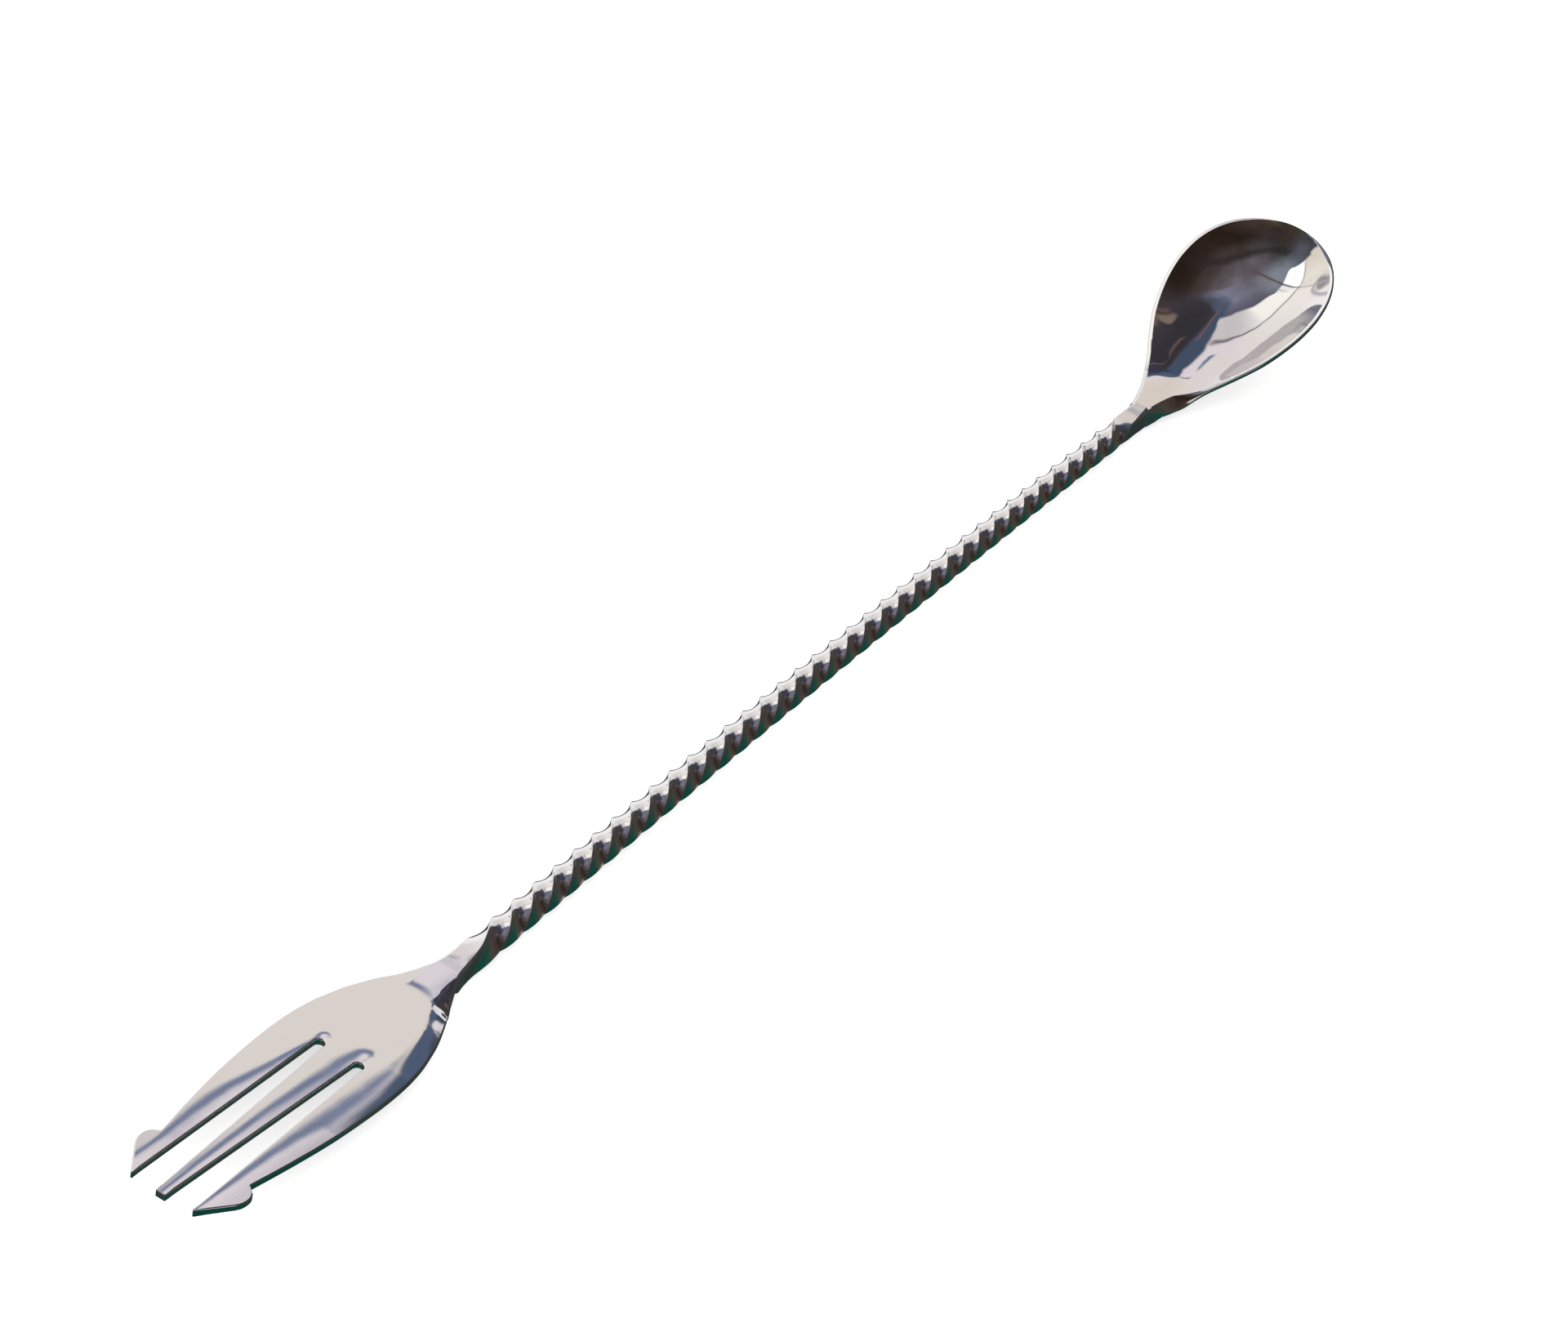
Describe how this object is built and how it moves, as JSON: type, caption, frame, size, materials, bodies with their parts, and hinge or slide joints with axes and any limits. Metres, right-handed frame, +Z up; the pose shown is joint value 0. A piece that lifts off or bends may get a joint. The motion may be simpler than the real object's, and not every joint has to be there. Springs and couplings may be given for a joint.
{
  "type": "bar spoon",
  "caption": "Long twisted-stem bar spoon: square rod twisted left-handed, flat barbed fork at one end, teardrop bowl tilted up at the other.",
  "frame": {"origin": "middle of the bounding box's length and width, at its bottom: the plane the spoon lies on, hollow up", "axes": "+X along the stem from the fork to the bowl, +Y across the bowl, +Z up out of the bowl's hollow"},
  "size_m": [0.3008, 0.0276, 0.019],
  "materials": {
    "fork_head": "mirror-polished stainless steel, unplated",
    "fork_weld": "weld bead ground flush and polished",
    "twisted_stem": "mirror-polished stainless steel, unplated",
    "bowl_weld": "weld bead ground flush and polished",
    "spoon_bowl": "mirror-polished stainless steel, unplated"
  },
  "bodies": {
    "root": {"fork_head": "fork_head", "fork_weld": "fork_weld", "twisted_stem": "twisted_stem", "bowl_weld": "bowl_weld", "spoon_bowl": "spoon_bowl"}
  },
  "joints": []
}
